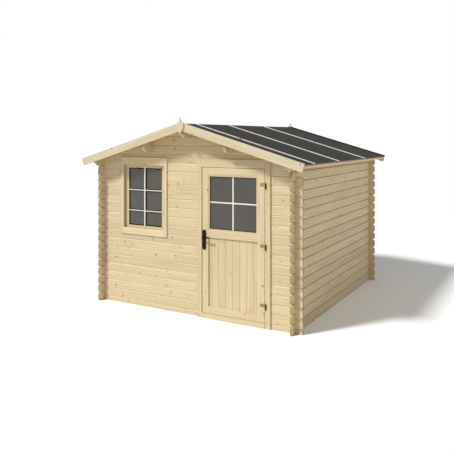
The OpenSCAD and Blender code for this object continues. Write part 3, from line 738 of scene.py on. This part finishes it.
def lath_nails():
    """Nails along the laths, 180 mm apart."""
    first, gap, radius = 60 * MM, 180 * MM, 3 * MM
    for side_name, side in (("left", -1), ("right", 1)):
        place, length = slope_place(side)
        nails = int((length - first) / gap) + 1
        screw_heads("lath_nails_" + side_name,
                    [place(y, lath_top, first + i * gap) for y in lath_ys for i in range(nails)],
                    radius, (side * math.sin(ROOF_PITCH), 0, math.cos(ROOF_PITCH)),
                    steel, "shed")


def bargeboard_screws():
    """One screw shows near the front right bargeboard's foot, and two in each back one."""
    front_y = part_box("front_bargeboard_right")[0].y
    back_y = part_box("back_bargeboard_right")[1].y
    from_foot, low, high, radius = 45 * MM, -35 * MM, 20 * MM, 7 * MM
    place, length = slope_place(1)
    screw_heads("bargeboard_screw_front", [place(front_y, high, length - from_foot)],
                radius, (0, -1, 0), browned, "shed")
    screw_heads("bargeboard_screws_back",
                [slope_place(side)[0](back_y, b, length - from_foot)
                 for side in (-1, 1) for b in (low, high)],
                radius, (0, 1, 0), browned, "shed")


def handle_plate_screws():
    """Two screws in each plate of the handle, in the plate's own lacquer."""
    low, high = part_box("handle_plates")
    x, from_end, radius = mid(low.x, high.x), 16 * MM, 4 * MM
    for side_name, y, facing in (("outside", low.y, -1), ("inside", high.y, 1)):
        screw_heads("handle_plate_screws_" + side_name,
                    [(x, y, low.z + from_end), (x, y, high.z - from_end)],
                    radius, (0, facing, 0), lacquer, "door")


hinge_screws()
lath_nails()
bargeboard_screws()
handle_plate_screws()


# ---- Floor, light and camera ----

def looked_at(tree):
    """1 for what the camera sees, also in metal and through glass, 0 for light on the shed."""
    path = add(tree, "ShaderNodeLightPath")
    seen = add(tree, "ShaderNodeMath",
               {0: path.outputs["Is Camera Ray"], 1: path.outputs["Is Glossy Ray"]},
               operation="MAXIMUM")
    seen = add(tree, "ShaderNodeMath",
               {0: seen.outputs[0], 1: path.outputs["Is Transmission Ray"]}, operation="MAXIMUM")
    return seen.outputs[0]


def studio_floor():
    """A large plain pale floor; it looks white where nothing shades it."""
    material, tree = new_material("Pale studio floor")
    colour = add(tree, "ShaderNodeMix",
                 {"Factor": looked_at(tree), "A": linear("#E7E7E7"), "B": linear("#FFFFFF")},
                 data_type="RGBA")
    plain = add(tree, "ShaderNodeBsdfDiffuse", {"Color": colour.outputs["Result"]})
    add(tree, "ShaderNodeOutputMaterial", {"Surface": plain.outputs[0]})
    mesh = bpy.data.meshes.new("studio_floor")
    size = 60.0  # metres from the middle to each edge, so that the edges stay out of view
    corners = [(-size, -size, 0), (size, -size, 0), (size, size, 0), (-size, size, 0)]
    mesh.from_pydata(corners, [], [(0, 1, 2, 3)])
    floor = bpy.data.objects.new("studio_floor", mesh)
    floor.location.z = cad_bounds[0][2] - 0.5 * MM
    bpy.context.scene.collection.objects.link(floor)
    mesh.materials.append(material)


def studio_light():
    """Even sky light, a key lamp from the front left, 48 degrees up, and a faint broad lamp
    from the right."""
    world = bpy.data.worlds.new("studio")
    bpy.context.scene.world = world
    world.use_nodes = True
    tree = world.node_tree
    tree.nodes.clear()
    power = add(tree, "ShaderNodeMapRange", {0: looked_at(tree), 1: 0.0, 2: 1.0, 3: 0.34, 4: 1.0})
    sky = add(tree, "ShaderNodeBackground",
              {"Color": linear("#FFFFFF"), "Strength": power.outputs[0]})
    add(tree, "ShaderNodeOutputWorld", {"Surface": sky.outputs[0]})
    lamp = bpy.data.lights.new("key_lamp", "SUN")
    lamp.energy = 2.84
    lamp.angle = math.radians(9)
    key = bpy.data.objects.new("key_lamp", lamp)
    height = math.radians(48)
    plan = math.radians(55)
    travel = Vector((math.cos(plan) * math.cos(height), math.sin(plan) * math.cos(height),
                     -math.sin(height)))
    key.rotation_euler = travel.to_track_quat("-Z", "Y").to_euler()
    key.location = -6 * travel
    bpy.context.scene.collection.objects.link(key)
    broad = bpy.data.lights.new("side_lamp", "AREA")
    broad.energy = 30
    broad.size = 3.0
    side = bpy.data.objects.new("side_lamp", broad)
    side.location = (6.0, 1.2, 3.4)
    right_wall = Vector((1.4, 0.3, 1.4))
    side.rotation_euler = (right_wall - side.location).to_track_quat("-Z", "Y").to_euler()
    bpy.context.scene.collection.objects.link(side)


def camera():
    """Level, so that upright edges stay upright, 2.2 m up and 8.5 m from the shed's middle."""
    lens = bpy.data.cameras.new("camera")
    lens.sensor_width = 36
    lens.lens = 45.9
    # The frame's middle lies 0.1992 of its width under the horizon
    lens.shift_y = -0.1992
    eye = bpy.data.objects.new("camera", lens)
    eye.location = (4.0149, -7.4518, 2.2178)
    eye.rotation_euler = (math.radians(90), 0, math.radians(30.04))
    bpy.context.scene.collection.objects.link(eye)
    bpy.context.scene.camera = eye


studio_floor()
studio_light()
camera()
bpy.context.scene.view_settings.view_transform = "Standard"

bpy.context.view_layer.update()
